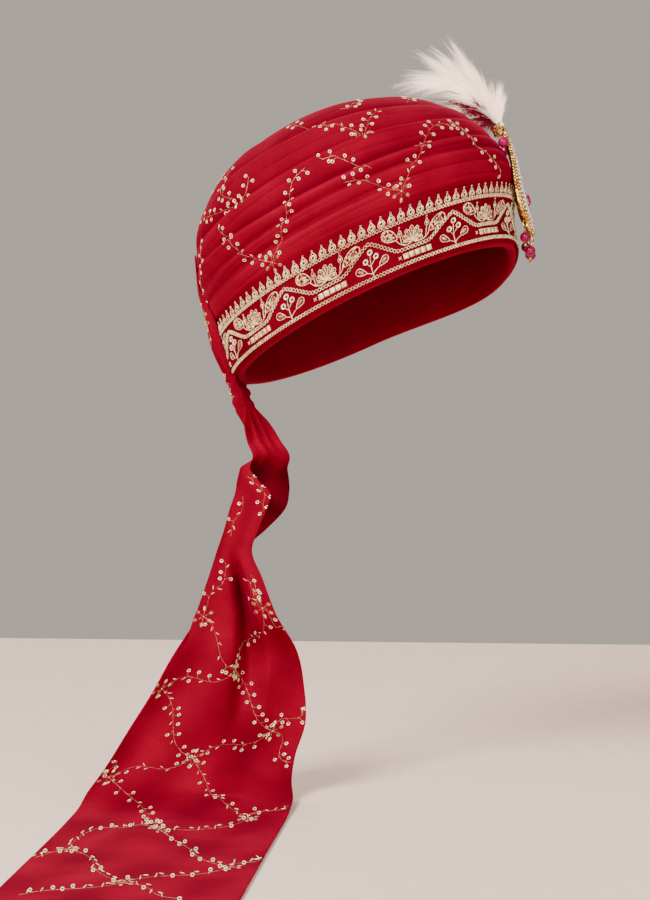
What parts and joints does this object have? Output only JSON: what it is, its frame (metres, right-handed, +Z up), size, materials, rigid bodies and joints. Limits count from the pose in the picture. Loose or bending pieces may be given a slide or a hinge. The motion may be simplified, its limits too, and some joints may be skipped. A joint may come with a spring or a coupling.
{
  "type": "tied turban",
  "caption": "Ready-tied pleated velvet turban with an embroidered border band, a long trailing tail and a feathered jewel at the front, worn on the head.",
  "frame": {"origin": "middle of the rim's opening, where the head goes in", "axes": "+X to the wearer's front where the jewel sits, +Y to the wearer's left, +Z up"},
  "size_m": [0.3172, 0.5206, 0.5388],
  "materials": {
    "velvet": "deep red velvet",
    "embroidered_velvet": "deep red velvet with champagne gold thread",
    "gilt": "polished gilt",
    "crystal": "clear, faceted",
    "pink_stone": "faceted magenta glass",
    "ruby_bead": "polished ruby red glass",
    "pink_bead": "polished pink glass",
    "feather": "soft cream feather with maroon barbs"
  },
  "bodies": {
    "root": {"crown": "velvet", "border_band": "embroidered_velvet", "tail": "velvet", "kalgi_plate": "gilt", "kalgi_crystals": "crystal", "kalgi_stone": "pink_stone", "drop_1_ring": "gilt", "drop_1_pin": "gilt", "drop_1_bead": "ruby_bead", "drop_2_ring": "gilt", "drop_2_pin": "gilt", "drop_2_bead": "ruby_bead", "drop_3_ring": "gilt", "drop_3_pin": "gilt", "drop_3_bead": "ruby_bead", "drop_4_ring": "gilt", "drop_4_pin": "gilt", "drop_4_bead": "ruby_bead", "top_1_ring": "gilt", "top_1_pin": "gilt", "top_1_bead": "pink_bead", "top_2_ring": "gilt", "top_2_pin": "gilt", "top_2_bead": "pink_bead", "plume": "feather"}
  },
  "joints": []
}
